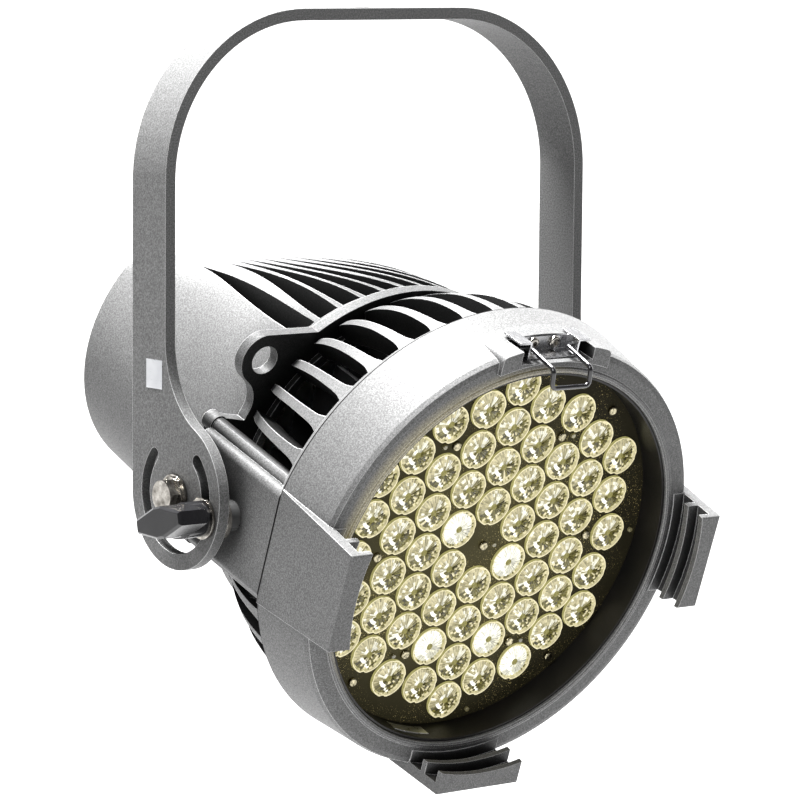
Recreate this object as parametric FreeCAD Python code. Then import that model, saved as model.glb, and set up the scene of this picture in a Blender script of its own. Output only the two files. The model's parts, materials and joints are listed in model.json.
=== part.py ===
"""LED par light on a bent flat-bar yoke, one STEP file per separate piece.

Units are millimetres and +Z is up.  The origin is the centre of the hanging hole, on the top
face of the yoke.  The head is drawn along its own optical axis (front towards -Y, lens plane
at y = 0) and is then tilted about the yoke's pivots by HEAD_TILT.
"""
import FreeCAD, Part
import math
import os

from FreeCAD import Vector

# ---------------------------------------------------------------- driving dimensions
HEAD_TILT = 20.0              # degrees nose-down from level
LENS_PITCH = 18.5             # hexagonal spacing of the lenses
LENS_R = 8.7
LENS_RINGS = 4                # rings of lenses about the middle of the plate
EDGE_LENS_SHIFT = 1.0686      # the lens in the middle of each outer side stands further out

YOKE_HALF_WIDTH = 113.0       # to the outer faces of the arms
YOKE_BAR_WIDTH = 24.0
YOKE_BAR_THICK = 5.0
YOKE_CORNER_R = 71.0          # outside of each bend
BRIDGE_HALF = 42.0             # half length of the straight middle, up to the bends
YOKE_DROP = 200.0             # top face to pivot
YOKE_PIVOT_FORWARD = 19.5     # pivot ahead of the bar's centre line
YOKE_DISC_R = 31.5
YOKE_NECK_R = 40.0            # concave flare from arm to disc
HANG_HOLE_R = 6.5
PIVOT_PIN_R = 4.0
PIVOT_BORE_R = 4.05
LOCK_ARC_R = 21.6             # arc slot about the pivot
LOCK_SLOT_W = 6.0
LOCK_STUD_R = 2.5
LOCK_BORE_R = 2.55
LOCK_SLOT_END = 45.0          # degrees above level, at both ends of the slot

PIVOT_Y = 67.9                # pivot behind the lens plane
CHEEK_X = 98.8                # flat side faces of the head
CHEEK_HALF_H = 25.0
CHEEK_WALL = 4.8

SEAM_Y = 18.5                 # joint of bezel and vented housing
SEAM_GAP = 0.4
BEZEL_REAR_R = 101.5
BEZEL_FRONT_R = 98.0
BEZEL_FRONT_Y = -13.5
LIP_R = 86.4
WALL = 4.0

CLIP_FRONT_Y = -33.3          # front of the accessory clips
CLIP_LIP_R = 91.0             # the lips overhang a 190.5 mm accessory frame
CLIP_POCKET_R = 96.5
CLIP_LIP_T = 2.6
CLIP_PITCH = 9.8
CLIP_REAR_HALF_W = 26.0
CLIP_FRONT_HALF_W = 21.8

VENT_FRONT_Y = 24.0
VENT_PITCH = 9.66             # degrees between ribs
VENT_RIBS = 7                 # on each side of the middle rib
RIB_HALF_WIDTHS = [(24.0, 4.0), (27.5, 2.9), (33.0, 2.4), (50.0, 2.0), (77.4, 1.4)]   # (y, half width)
CHEEK_EDGE_R = 3.5            # outer edges of the cheeks

FLANGE_FRONT_Y = 77.7
FLANGE_REAR_Y = 83.0
FLANGE_R = 82.5
EAR_X = 74.4
EAR_Z = 54.6
EAR_R = 11.5
EAR_HOLE_R = 6.3
EAR_FILLET_R = 12.0           # hollow between each ear and the disc of the flange
COLUMN_X = 90.6
COLUMN_Z = 25.6
COLUMN_R = 3.7

REAR_Y = 208.0
REAR_R = 69.2                 # round part of the rear rim
REAR_SIDE_R = 75.5            # just behind the flange, at the sides
REAR_TOP_R = 82.3             # just behind the flange, at the top
REAR_FLAT_Z = 42.9            # height of the flat top at the rear rim
FRONT_FLAT_Z = 84.0
REAR_WALL = 3.2
FIN_DEPTH = 15.0
PANEL_Y = 199.0
PANEL_T = 2.0

SCREW_HEAD_R = 2.9
SCREW_HEAD_H = 2.2
SCREW_R = 1.5

AXIS_Y = Vector(0, 1, 0)
AXIS_X = Vector(1, 0, 0)
UP = Vector(0, 0, 1)
SIDES = (-1, 1)


# ---------------------------------------------------------------- small helpers
def polygon_face(points):
    return Part.Face(Part.makePolygon(points + [points[0]]))


def turned(profile):
    """Solid of revolution about the head's axis from (y, radius) points."""
    face = polygon_face([Vector(radius, y, 0) for y, radius in profile])
    return face.revolve(Vector(0, 0, 0), AXIS_Y, 360)


def rod(x, z, radius, y0, y1):
    """Cylinder along the head's axis."""
    return Part.makeCylinder(radius, y1 - y0, Vector(x, y0, z), AXIS_Y)


def tube(outer, inner, y0, y1, x=0.0, z=0.0):
    return rod(x, z, outer, y0, y1).cut(rod(x, z, inner, y0 - 1, y1 + 1))


def cross_rod(radius, x0, x1, y, z):
    """Cylinder along X, between x0 and x1 in either order."""
    start = min(x0, x1)
    return Part.makeCylinder(radius, abs(x1 - x0), Vector(start, y, z), AXIS_X)


def block(x0, x1, y0, y1, z0, z1):
    return Part.makeBox(x1 - x0, y1 - y0, z1 - z0, Vector(x0, y0, z0))


def prism_x(points, x0, x1):
    """Prism along X from (y, z) points."""
    face = polygon_face([Vector(x0, y, z) for y, z in points])
    return face.extrude(Vector(x1 - x0, 0, 0))


def prism_y(points, y0, y1):
    """Prism along the head's axis from (x, z) points."""
    face = polygon_face([Vector(x, y0, z) for x, z in points])
    return face.extrude(Vector(0, y1 - y0, 0))


def prism_z(points, z0, z1):
    """Prism along Z from (x, y) points."""
    face = polygon_face([Vector(x, y, z0) for x, y in points])
    return face.extrude(Vector(0, 0, z1 - z0))


def spun(shape, degrees):
    """Copy turned about the head's axis, anticlockwise as seen from the front."""
    copy = shape.copy()
    copy.rotate(Vector(0, 0, 0), AXIS_Y, -degrees)
    return copy


def polar(radius, degrees):
    angle = math.radians(degrees)
    return radius * math.cos(angle), radius * math.sin(angle)


def fused(shapes):
    return shapes[0].multiFuse(shapes[1:]).removeSplitter()


def group(shapes):
    return Part.makeCompound(shapes)


def hexagon(across_flats, y, z):
    corner = across_flats / math.sqrt(3)
    angles = [math.radians(60 * k + 30) for k in range(6)]
    return [(y + corner * math.cos(a), z + corner * math.sin(a)) for a in angles]


# ---------------------------------------------------------------- yoke (drawn in the row frame)
PIVOT = Vector(0, -YOKE_PIVOT_FORWARD, -YOKE_DROP)


def yoke_outline(half_width, top, corner):
    """Closed U outline in the XZ plane, open ends at pivot height."""
    low = -YOKE_DROP
    shift = corner * (1 - math.sqrt(0.5))
    left = Part.LineSegment(Vector(-half_width, 0, low), Vector(-half_width, 0, top - corner))
    bend_a = Part.Arc(Vector(-half_width, 0, top - corner),
                      Vector(-half_width + shift, 0, top - shift),
                      Vector(-half_width + corner, 0, top))
    bridge = Part.LineSegment(Vector(-half_width + corner, 0, top),
                              Vector(half_width - corner, 0, top))
    bend_b = Part.Arc(Vector(half_width - corner, 0, top),
                      Vector(half_width - shift, 0, top - shift),
                      Vector(half_width, 0, top - corner))
    right = Part.LineSegment(Vector(half_width, 0, top - corner), Vector(half_width, 0, low))
    foot = Part.LineSegment(Vector(half_width, 0, low), Vector(-half_width, 0, low))
    edges = [part.toShape() for part in (left, bend_a, bridge, bend_b, right, foot)]
    return Part.Face(Part.Wire(edges))


def yoke_end_plate():
    """Disc with the flare up to the arm, flat in the YZ plane through the pivot."""
    arm_front = YOKE_PIVOT_FORWARD - YOKE_BAR_WIDTH / 2
    neck_y = arm_front - YOKE_NECK_R
    neck_z = math.sqrt((YOKE_DISC_R + YOKE_NECK_R) ** 2 - neck_y ** 2)
    scale = YOKE_DISC_R / (YOKE_DISC_R + YOKE_NECK_R)
    touch = (neck_y * scale, neck_z * scale)
    middle = math.atan2((touch[1] - neck_z), (touch[0] - neck_y)) / 2
    middle_point = (neck_y + YOKE_NECK_R * math.cos(middle), neck_z + YOKE_NECK_R * math.sin(middle))
    flare = Part.Arc(Vector(0, touch[0], touch[1]), Vector(0, *middle_point),
                     Vector(0, arm_front, neck_z)).toShape()
    rest = Part.makePolygon([Vector(0, arm_front, neck_z), Vector(0, YOKE_DISC_R, neck_z),
                             Vector(0, YOKE_DISC_R, 0), Vector(0, 0, 0),
                             Vector(0, touch[0], touch[1])])
    neck = Part.Face(Part.Wire([flare] + rest.Edges))
    disc = Part.Face(Part.Wire(Part.makeCircle(YOKE_DISC_R, Vector(0, 0, 0), AXIS_X)))
    plate = neck.extrude(Vector(YOKE_BAR_THICK, 0, 0))
    return plate.fuse(disc.extrude(Vector(YOKE_BAR_THICK, 0, 0))).removeSplitter()


def lock_slot():
    """Arc slot below the pivot, from 45 degrees up at the front to 45 degrees up at the rear."""
    half = LOCK_SLOT_W / 2
    depth = YOKE_BAR_THICK + 2
    ring = Part.makeCylinder(LOCK_ARC_R + half, depth, Vector(-1, 0, 0), AXIS_X)
    ring = ring.cut(Part.makeCylinder(LOCK_ARC_R - half, depth, Vector(-1, 0, 0), AXIS_X))
    reach = 2 * LOCK_ARC_R
    ring = ring.cut(prism_x([(0, 0), (reach, reach), (-reach, reach)], -1, depth - 1))
    ends = [Part.makeCylinder(half, depth, Vector(-1, sign * y, z), AXIS_X)
            for sign in SIDES
            for y, z in [polar(LOCK_ARC_R, LOCK_SLOT_END)]]
    return ring.multiFuse(ends)


def yoke_strip():
    """The bent flat bar from one end plate to the other, without holes."""
    outer = yoke_outline(YOKE_HALF_WIDTH, 0.0, YOKE_CORNER_R)
    inner = yoke_outline(YOKE_HALF_WIDTH - YOKE_BAR_THICK, -YOKE_BAR_THICK,
                         YOKE_CORNER_R - YOKE_BAR_THICK)
    bar = outer.cut(inner).extrude(Vector(0, YOKE_BAR_WIDTH, 0))
    bar.translate(Vector(0, -YOKE_BAR_WIDTH / 2, 0))
    return bar.cut(block(-200, 200, -40, 40, -YOKE_DROP - 10, -YOKE_DROP + 40))


def yoke_bridge():
    """Straight middle of the yoke, between the two bends, with the hanging hole."""
    middle = yoke_strip().common(block(-BRIDGE_HALF, BRIDGE_HALF, -40, 40, -20, 20))
    return middle.cut(Part.makeCylinder(HANG_HOLE_R, 20, Vector(0, 0, -10), UP))


def yoke_arm(side):
    """One bend and arm with its disc, pivot bore and lock slot."""
    arm = yoke_strip().common(block(min(side * BRIDGE_HALF, side * 200), max(side * BRIDGE_HALF, side * 200),
                                    -40, 40, -250, 20))
    face_x = -YOKE_HALF_WIDTH if side < 0 else YOKE_HALF_WIDTH - YOKE_BAR_THICK
    at = PIVOT + Vector(face_x, 0, 0)
    plate = yoke_end_plate()
    plate.translate(at)
    slot = lock_slot()
    slot.translate(at)
    bore = Part.makeCylinder(PIVOT_BORE_R, YOKE_BAR_THICK + 2, at - Vector(1, 0, 0), AXIS_X)
    return arm.fuse(plate).removeSplitter().cut(Part.makeCompound([slot, bore]))


def rating_label():
    """Blank rating label on the outside of one arm."""
    x0 = -YOKE_HALF_WIDTH - 0.2
    return block(x0, -YOKE_HALF_WIDTH, -10.0, 1.5, -157, -145)


# ---------------------------------------------------------------- front bezel
def bezel_ring():
    return turned([(SEAM_Y, BEZEL_REAR_R), (-10.5, BEZEL_FRONT_R), (-12.7, 97.1), (BEZEL_FRONT_Y, 94.9),
                   (BEZEL_FRONT_Y, 89.4), (-14.2, 88.6), (-14.3, 87.6), (-13.8, 86.7), (-13.0, LIP_R),
                   (-3.0, LIP_R), (-3.0, 89.4), (BEZEL_FRONT_Y + WALL, 90.4), (BEZEL_FRONT_Y + WALL, 93.5),
                   (SEAM_Y, BEZEL_REAR_R - WALL)])


def pad_prism(inner_x, outer_x, front_y):
    """Flat tangential pad on the +X side, narrowing towards the front."""
    points = [(SEAM_Y, -CLIP_REAR_HALF_W), (SEAM_Y, CLIP_REAR_HALF_W),
              (front_y, CLIP_FRONT_HALF_W), (front_y, -CLIP_FRONT_HALF_W)]
    return prism_x(points, inner_x, outer_x)


def accessory_clip():
    """Pad with two inward lips on the +X side, which make two accessory slots."""
    pad = pad_prism(84.0, CHEEK_X, CLIP_FRONT_Y)
    hollow = rod(0, 0, CLIP_LIP_R, CLIP_FRONT_Y - 1, BEZEL_FRONT_Y)
    behind = rod(0, 0, 94.5, BEZEL_FRONT_Y, SEAM_Y + 1)
    pad = pad.cut(hollow).cut(behind)
    front = CLIP_FRONT_Y + CLIP_LIP_T
    for k in range(2):
        back = min(front + CLIP_PITCH - CLIP_LIP_T, BEZEL_FRONT_Y)
        pad = pad.cut(rod(0, 0, CLIP_POCKET_R, front, back))
        front += CLIP_PITCH
    edges = [e for e in pad.Edges if abs(e.BoundBox.YMin - CLIP_FRONT_Y) < 0.01
             and abs(e.BoundBox.YMax - CLIP_FRONT_Y) < 0.01 and e.BoundBox.XMax > CHEEK_X - 0.01]
    return pad.makeFillet(0.8, edges)


LATCH_HALF_W = 19.0
TOP_PAD_HALF_W = 28.5
TOP_PAD_R = 99.9
TOP_PAD_INNER_R = 92.4
LATCH_FLOOR_Z = 92.5
LATCH_WALL_Y = -3.7
LATCH_SCREW_X = [-5.6, 5.6]
LATCH_SCREW_Z = 96.6
LATCH_FRONT_Y = -15.6


def latch_housing():
    """Raised pad at the top of the bezel, with the pocket that holds the accessory latch."""
    pad = tube(TOP_PAD_R, 89.6, LATCH_FRONT_Y, SEAM_Y - 9)
    pad = pad.common(block(-TOP_PAD_HALF_W, TOP_PAD_HALF_W, -20, SEAM_Y, 70, 110))
    pad = pad.cut(rod(0, 0, TOP_PAD_INNER_R, -20, BEZEL_FRONT_Y))
    corners = [e for e in pad.Edges if e.BoundBox.YLength > 20 and e.BoundBox.XLength < 0.01
               and e.BoundBox.ZMin > 94]
    pad = pad.makeFillet(2.5, corners)
    return pad.cut(block(-19, 19, 2.0, SEAM_Y, 80, 95.0))


def latch_pocket():
    return block(-LATCH_HALF_W, LATCH_HALF_W, LATCH_FRONT_Y - 1, LATCH_WALL_Y, LATCH_FLOOR_Z, 110)


BEZEL_SCREW_ANGLES = [base + sign * offset for base in (90, 270)
                      for sign in SIDES for offset in (1.5 * VENT_PITCH, 6.5 * VENT_PITCH)]
BEZEL_SCREW_R = 92.6


def front_bezel():
    ring = bezel_ring()
    shaped = [ring, latch_housing()]
    for angle in BEZEL_SCREW_ANGLES:
        x, z = polar(BEZEL_SCREW_R, angle)
        shaped.append(rod(x, z, 3.4, -9.6, SEAM_Y))
    body = shaped[0].multiFuse(shaped[1:])
    trims = [block(CHEEK_X, 130, -40, 40, -60, 60)]
    cuts = [spun(trims[0], angle) for angle in (0, 180, 270)]
    body = body.cut(Part.makeCompound(cuts))
    clips = [spun(accessory_clip(), angle) for angle in (0, 180, 270)]
    body = body.multiFuse(clips)
    body = body.cut(latch_pocket())
    holes = [rod(*polar(BEZEL_SCREW_R, angle), SCREW_R, 6, SEAM_Y + 1) for angle in BEZEL_SCREW_ANGLES]
    holes += [rod(x, LATCH_SCREW_Z, 1.25, LATCH_WALL_Y - 1, 2.5) for x in LATCH_SCREW_X]
    return body.cut(Part.makeCompound(holes)).removeSplitter()


def bezel_gasket():
    return tube(98.3, 97.5, SEAM_Y, SEAM_Y + SEAM_GAP)


def bezel_screws():
    """Pan-head screws put in from behind, their heads in the vent slots."""
    screws = []
    for angle in BEZEL_SCREW_ANGLES:
        x, z = polar(BEZEL_SCREW_R, angle)
        head = rod(x, z, SCREW_HEAD_R, VENT_FRONT_Y, VENT_FRONT_Y + SCREW_HEAD_H)
        head = head.makeFillet(0.9, [head.Edges[0]])
        screws.append(head.fuse(rod(x, z, SCREW_R, 8, VENT_FRONT_Y)))
    return group(screws)


# ---------------------------------------------------------------- accessory latch
LATCH_PIVOT_Y = -8.1
LATCH_PIVOT_Z = 96.3
LATCH_SHEET = 0.8
LATCH_EAR_X = 12.4            # inner faces of the bracket's ears
LATCH_SHELF_Z = 99.5
WIRE_R = 1.05
BAIL_HALF_W = 9.8
BAIL_BAR_Y = -26.7
BAIL_BAR_Z = 86.5
BAIL_BEND_Y = -25.4
BAIL_BEND_Z = 94.1


def latch_bracket():
    """Folded strip: back plate under the screws, floor plate, and an ear with a shelf at each end."""
    back = block(-LATCH_EAR_X, LATCH_EAR_X, LATCH_WALL_Y - LATCH_SHEET, LATCH_WALL_Y, LATCH_FLOOR_Z, 99.2)
    floor = block(-LATCH_EAR_X, LATCH_EAR_X, -12.0, LATCH_WALL_Y, LATCH_FLOOR_Z, LATCH_FLOOR_Z + LATCH_SHEET)
    parts = [back, floor]
    for side in SIDES:
        ear_x = sorted((side * LATCH_EAR_X, side * (LATCH_EAR_X + LATCH_SHEET)))
        ear_top = LATCH_SHELF_Z + LATCH_SHEET
        ear = block(ear_x[0], ear_x[1], -12.0, LATCH_WALL_Y, LATCH_FLOOR_Z, ear_top)
        shelf_x = sorted((side * LATCH_EAR_X, side * (LATCH_EAR_X + 6.2)))
        shelf = block(shelf_x[0], shelf_x[1], -12.0, -0.6, LATCH_SHELF_Z, ear_top)
        parts += [ear, shelf]
    body = fused(parts)
    holes = [cross_rod(WIRE_R + 0.05, -20, 20, LATCH_PIVOT_Y, LATCH_PIVOT_Z)]
    holes += [rod(x, LATCH_SCREW_Z, 1.6, -10, 0) for x in LATCH_SCREW_X]
    return body.cut(Part.makeCompound(holes))


def latch_screws():
    screws = []
    for x in LATCH_SCREW_X:
        top = LATCH_WALL_Y - LATCH_SHEET
        head = rod(x, LATCH_SCREW_Z, 2.6, top - 1.6, top)
        head = head.makeFillet(1.0, [head.Edges[2]])
        corners = [(x + dx, LATCH_SCREW_Z + dz) for dx, dz in hexagon(2.0, 0, 0)]
        socket = prism_y(corners, top - 2, top - 0.6)
        screws.append(head.cut(socket).fuse(rod(x, LATCH_SCREW_Z, 1.2, top, 2.0)))
    return group(screws)


def latch_wire():
    """Bail of round wire: two feet in the ears, two legs forward, a bend and a cross bar."""
    ear = 15.6
    route = [Vector(-ear, LATCH_PIVOT_Y, LATCH_PIVOT_Z),
             Vector(-BAIL_HALF_W, LATCH_PIVOT_Y, LATCH_PIVOT_Z),
             Vector(-BAIL_HALF_W, BAIL_BEND_Y, BAIL_BEND_Z),
             Vector(-BAIL_HALF_W, BAIL_BAR_Y, BAIL_BAR_Z),
             Vector(BAIL_HALF_W, BAIL_BAR_Y, BAIL_BAR_Z),
             Vector(BAIL_HALF_W, BAIL_BEND_Y, BAIL_BEND_Z),
             Vector(BAIL_HALF_W, LATCH_PIVOT_Y, LATCH_PIVOT_Z),
             Vector(ear, LATCH_PIVOT_Y, LATCH_PIVOT_Z)]
    radius = 2.2
    edges = []
    start = route[0]
    for before, corner, after in zip(route, route[1:], route[2:]):
        back = (before - corner).normalize()
        ahead = (after - corner).normalize()
        half_turn = (math.pi - back.getAngle(ahead)) / 2
        reach = radius * math.tan(half_turn)
        enter = corner + back * reach
        leave = corner + ahead * reach
        bisector = (back + ahead).normalize()
        centre = corner + bisector * (radius / math.cos(half_turn))
        middle = centre - bisector * radius
        edges.append(Part.LineSegment(start, enter).toShape())
        edges.append(Part.Arc(enter, middle, leave).toShape())
        start = leave
    edges.append(Part.LineSegment(start, route[-1]).toShape())
    path = Part.Wire(edges)
    section = Part.Wire(Part.makeCircle(WIRE_R, route[0], AXIS_X))
    return path.makePipeShell([section], True, False)


# ---------------------------------------------------------------- light engine
def lens_centres():
    centres = []
    for i in range(-LENS_RINGS, LENS_RINGS + 1):
        for j in range(-LENS_RINGS, LENS_RINGS + 1):
            if (i, j) == (0, 0) or abs(i + j) > LENS_RINGS:
                continue
            middle_of_side = sorted((abs(i), abs(j), abs(i + j))) == [2, 2, 4]
            scale = LENS_PITCH * (EDGE_LENS_SHIFT if middle_of_side else 1.0)
            x = scale * (i + j / 2)
            z = scale * j * math.sqrt(3) / 2
            turn = math.radians(30)
            centres.append((x * math.cos(turn) - z * math.sin(turn),
                            x * math.sin(turn) + z * math.cos(turn)))
    return centres


PLATE_FRONT_Y = 0.8
PLATE_T = 2.0
PLATE_R = 86.0
BOARD_Y = 11.6
BOARD_T = 1.6
TUBE_R = 85.2
TUBE_FRONT_Y = -12.6
POST_R = 56.4
POST_POSITIONS = [(0.0, 0.0)] + [polar(POST_R, 60 * k) for k in range(6)]
PIN_X = 6.3                   # each pin stands this far outboard of its screw
PIN_POSITIONS = [(5.6, 0.0)] + [(x + math.copysign(PIN_X, x), z) for x, z in POST_POSITIONS[1:] if abs(z) > 1]
PIN_POSITIONS += [polar(81.6, angle) for angle in (0, 180, 280)]
RIM_SCREWS = [polar(79.5, angle) for angle in (48, 132, 228, 312)]


def lens_plate():
    plate = rod(0, 0, PLATE_R, PLATE_FRONT_Y, PLATE_FRONT_Y + PLATE_T)
    holes = [rod(x, z, LENS_R + 0.1, -1, 5) for x, z in lens_centres()]
    holes += [rod(x, z, 1.3, -1, 5) for x, z in POST_POSITIONS + RIM_SCREWS]
    return plate.cut(Part.makeCompound(holes))


def one_lens(x, z):
    lens = turned([(-0.4, 0), (-0.4, LENS_R), (1.2, LENS_R), (1.4, LENS_R - 0.5), (10.2, 3.2), (10.2, 0)])
    lens.translate(Vector(x, 0, z))
    return lens


def lenses():
    return group([one_lens(x, z) for x, z in lens_centres()])


def led_board():
    board = rod(0, 0, 84.0, BOARD_Y, BOARD_Y + BOARD_T)
    holes = [rod(x, z, 1.3, BOARD_Y - 1, BOARD_Y + 3) for x, z in POST_POSITIONS]
    return board.cut(Part.makeCompound(holes))


def led_emitters():
    return group([block(x - 1.7, x + 1.7, BOARD_Y - 1.2, BOARD_Y, z - 1.7, z + 1.7)
                  for x, z in lens_centres()])


def plate_posts():
    return group([tube(2.6, 1.3, PLATE_FRONT_Y + PLATE_T, BOARD_Y, x, z)
                  for x, z in POST_POSITIONS + RIM_SCREWS])


def plate_screws():
    screws = []
    for x, z in POST_POSITIONS + RIM_SCREWS:
        head = rod(x, z, 2.1, PLATE_FRONT_Y - 1.5, PLATE_FRONT_Y)
        head = head.makeFillet(0.7, [head.Edges[2]])
        screws.append(head.fuse(rod(x, z, 1.2, PLATE_FRONT_Y, 9.0)))
    return group(screws)


def locating_pins():
    pins = []
    for x, z in PIN_POSITIONS:
        pin = rod(x, z, 1.1, PLATE_FRONT_Y - 1.3, PLATE_FRONT_Y)
        pins.append(pin.makeFillet(0.4, [pin.Edges[2]]))
    return group(pins)


def inner_tube():
    return tube(TUBE_R + 1.0, TUBE_R, TUBE_FRONT_Y, PLATE_FRONT_Y)


def tube_label():
    """Blank sticker inside the baffle tube, at the bottom."""
    ring = tube(TUBE_R, TUBE_R - 0.15, -8.4, -2.4)
    wedge = prism_y([(0, 0), (-40, -100), (-14, -100)], -9, -1)
    return ring.common(wedge)


SINK_FRONT_Y = BOARD_Y + BOARD_T
SINK_BASE_T = 8.2
SINK_REAR_Y = 72.0
SINK_FIN_PITCH = 8.0
SINK_FIN_T = 2.0
SINK_FIN_R = 67.0


def heat_sink():
    base = rod(0, 0, 84.6, SINK_FRONT_Y, SINK_FRONT_Y + SINK_BASE_T)
    fins = []
    count = int(SINK_FIN_R / SINK_FIN_PITCH)
    for k in range(-count, count + 1):
        x = k * SINK_FIN_PITCH
        half = math.sqrt(SINK_FIN_R ** 2 - (abs(x) + SINK_FIN_T / 2) ** 2)
        fins.append(block(x - SINK_FIN_T / 2, x + SINK_FIN_T / 2, SINK_FRONT_Y + SINK_BASE_T,
                          SINK_REAR_Y, -half, half))
    return base.multiFuse(fins)


# ---------------------------------------------------------------- vented middle housing
def vent_rib():
    """One blade at the top: S-curved outer edge, wide root at the front, narrow at the rear."""
    outer = Part.BSplineCurve()
    outer.interpolate([Vector(0, VENT_FRONT_Y, 97.3), Vector(0, 34, 96.4), Vector(0, 47, 94.0),
                       Vector(0, 60, 89.4), Vector(0, 70, 84.2), Vector(0, FLANGE_FRONT_Y - 0.3, 79.2)])
    inner = Part.BSplineCurve()
    inner.interpolate([Vector(0, FLANGE_FRONT_Y - 0.3, 72.0), Vector(0, 60, 78.0), Vector(0, 42, 84.0),
                       Vector(0, VENT_FRONT_Y, 86.5)])
    ends = [Part.LineSegment(outer.EndPoint, inner.StartPoint).toShape(),
            Part.LineSegment(inner.EndPoint, outer.StartPoint).toShape()]
    face = Part.Face(Part.Wire([outer.toShape(), ends[0], inner.toShape(), ends[1]]))
    slab = face.extrude(Vector(12, 0, 0))
    slab.translate(Vector(-6, 0, 0))
    sides = []
    for side in SIDES:
        curve = Part.BSplineCurve()
        curve.interpolate([Vector(side * half, y, 60) for y, half in RIB_HALF_WIDTHS])
        sides.append(curve)
    front = Part.LineSegment(sides[0].StartPoint, sides[1].StartPoint).toShape()
    rear = Part.LineSegment(sides[1].EndPoint, sides[0].EndPoint).toShape()
    plan = Part.Face(Part.Wire([front, sides[1].toShape(), rear, sides[0].toShape()]))
    return slab.common(plan.extrude(Vector(0, 0, 50)))


def vent_rear_ring():
    return tube(73.5, 69.5, 74.5, FLANGE_FRONT_Y - 0.3)


def vent_ribs(base):
    """The blades above (base 0) or below (base 180), between the two rings of the housing."""
    rib = vent_rib().cut(vent_rear_ring())
    return group([spun(rib, base + k * VENT_PITCH) for k in range(-VENT_RIBS, VENT_RIBS + 1)])


def cheek():
    """Flat side wall on the +X side, with its pivot and lock bosses."""
    plate = block(CHEEK_X - CHEEK_WALL, CHEEK_X, SEAM_Y + SEAM_GAP, FLANGE_FRONT_Y - 0.3,
                  -CHEEK_HALF_H, CHEEK_HALF_H)
    ridges = [e for e in plate.Edges if e.BoundBox.YLength > 50 and e.BoundBox.XMin > CHEEK_X - 0.01]
    parts = [plate.makeFillet(CHEEK_EDGE_R, ridges)]
    for y, radius in ((PIVOT_Y, 9.4), (PIVOT_Y - LOCK_ARC_R, 8.0)):
        parts.append(cross_rod(radius, 86.0, CHEEK_X - 1, y, 0))
    for sign in SIDES:
        parts.append(rod(COLUMN_X, sign * COLUMN_Z, COLUMN_R, VENT_FRONT_Y - 2, FLANGE_FRONT_Y - 0.3))
        rear = FLANGE_FRONT_Y - 0.3
        web = [(COLUMN_X, 48), (COLUMN_X, rear), (CHEEK_X - 1.5, rear), (CHEEK_X - 1.5, VENT_FRONT_Y)]
        parts.append(prism_z(web, min(sign * 21, sign * 24), max(sign * 21, sign * 24)))
    return fused(parts)


def mid_housing():
    ring = turned([(SEAM_Y + SEAM_GAP, 101.3), (VENT_FRONT_Y, 97.4), (VENT_FRONT_Y, 81.0), (21.4, 81.0),
                   (21.4, 86.0), (SEAM_Y + SEAM_GAP, 86.0)])
    flats = [block(CHEEK_X, 130, 0, 60, -60, 60), block(-130, -CHEEK_X, 0, 60, -60, 60),
             block(-60, 60, 0, 60, -130, -CHEEK_X)]
    ring = ring.cut(Part.makeCompound(flats))
    right = cheek()
    body = ring.multiFuse([vent_rear_ring(), right, spun(right, 180)])
    bridges = []
    for angle in (0, 180):
        bridges.append(spun(block(70, CHEEK_X - 2, 74.5, FLANGE_FRONT_Y - 0.3, -12, 12), angle))
    body = body.multiFuse(bridges)
    holes = [rod(*polar(BEZEL_SCREW_R, angle), SCREW_R, 10, 30) for angle in BEZEL_SCREW_ANGLES]
    for side in SIDES:
        for y, radius in ((PIVOT_Y, PIVOT_PIN_R), (PIVOT_Y - LOCK_ARC_R, LOCK_BORE_R)):
            holes.append(cross_rod(radius, side * 85, side * 110, y, 0))
        for sign in SIDES:
            holes.append(rod(side * COLUMN_X, sign * COLUMN_Z, SCREW_R, 60, 90))
    return body.cut(Part.makeCompound(holes)).removeSplitter()


# ---------------------------------------------------------------- rear housing
def mix(start, end, share):
    return start + (end - start) * share


def rear_radius(degrees, y, inset):
    """Distance from axis to skin: a cone with a raised top, cut by the sloping flat top."""
    share = (y - FLANGE_REAR_Y) / (REAR_Y - FLANGE_REAR_Y)
    from_top = abs((degrees - 90 + 180) % 360 - 180)
    crown = 0.5 + 0.5 * math.cos(math.radians(min(180.0, max(0.0, (from_top - 38) * 4.5))))
    round_r = mix(mix(REAR_SIDE_R, REAR_R, share), mix(REAR_TOP_R, REAR_R, share), crown) - inset
    rise = math.sin(math.radians(degrees))
    flat_z = mix(FRONT_FLAT_Z, REAR_FLAT_Z, share) - inset
    sharpness = 22.0
    if rise <= 0.05:
        return round_r
    flat_r = flat_z / rise
    return (round_r ** -sharpness + flat_r ** -sharpness) ** (-1 / sharpness)


def rear_section(y, inset):
    count = 72
    points = []
    for k in range(count):
        degrees = 270 + k * 360 / count
        x, z = polar(rear_radius(degrees % 360, y, inset), degrees)
        points.append(Vector(x, y, z))
    curve = Part.BSplineCurve()
    curve.interpolate(points, PeriodicFlag=True)
    return Part.Wire(curve.toShape())


def rear_solid(inset, y0, y1):
    stations = [mix(y0, y1, k / 4) for k in range(5)]
    return Part.makeLoft([rear_section(y, inset) for y in stations], True, False)


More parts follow.
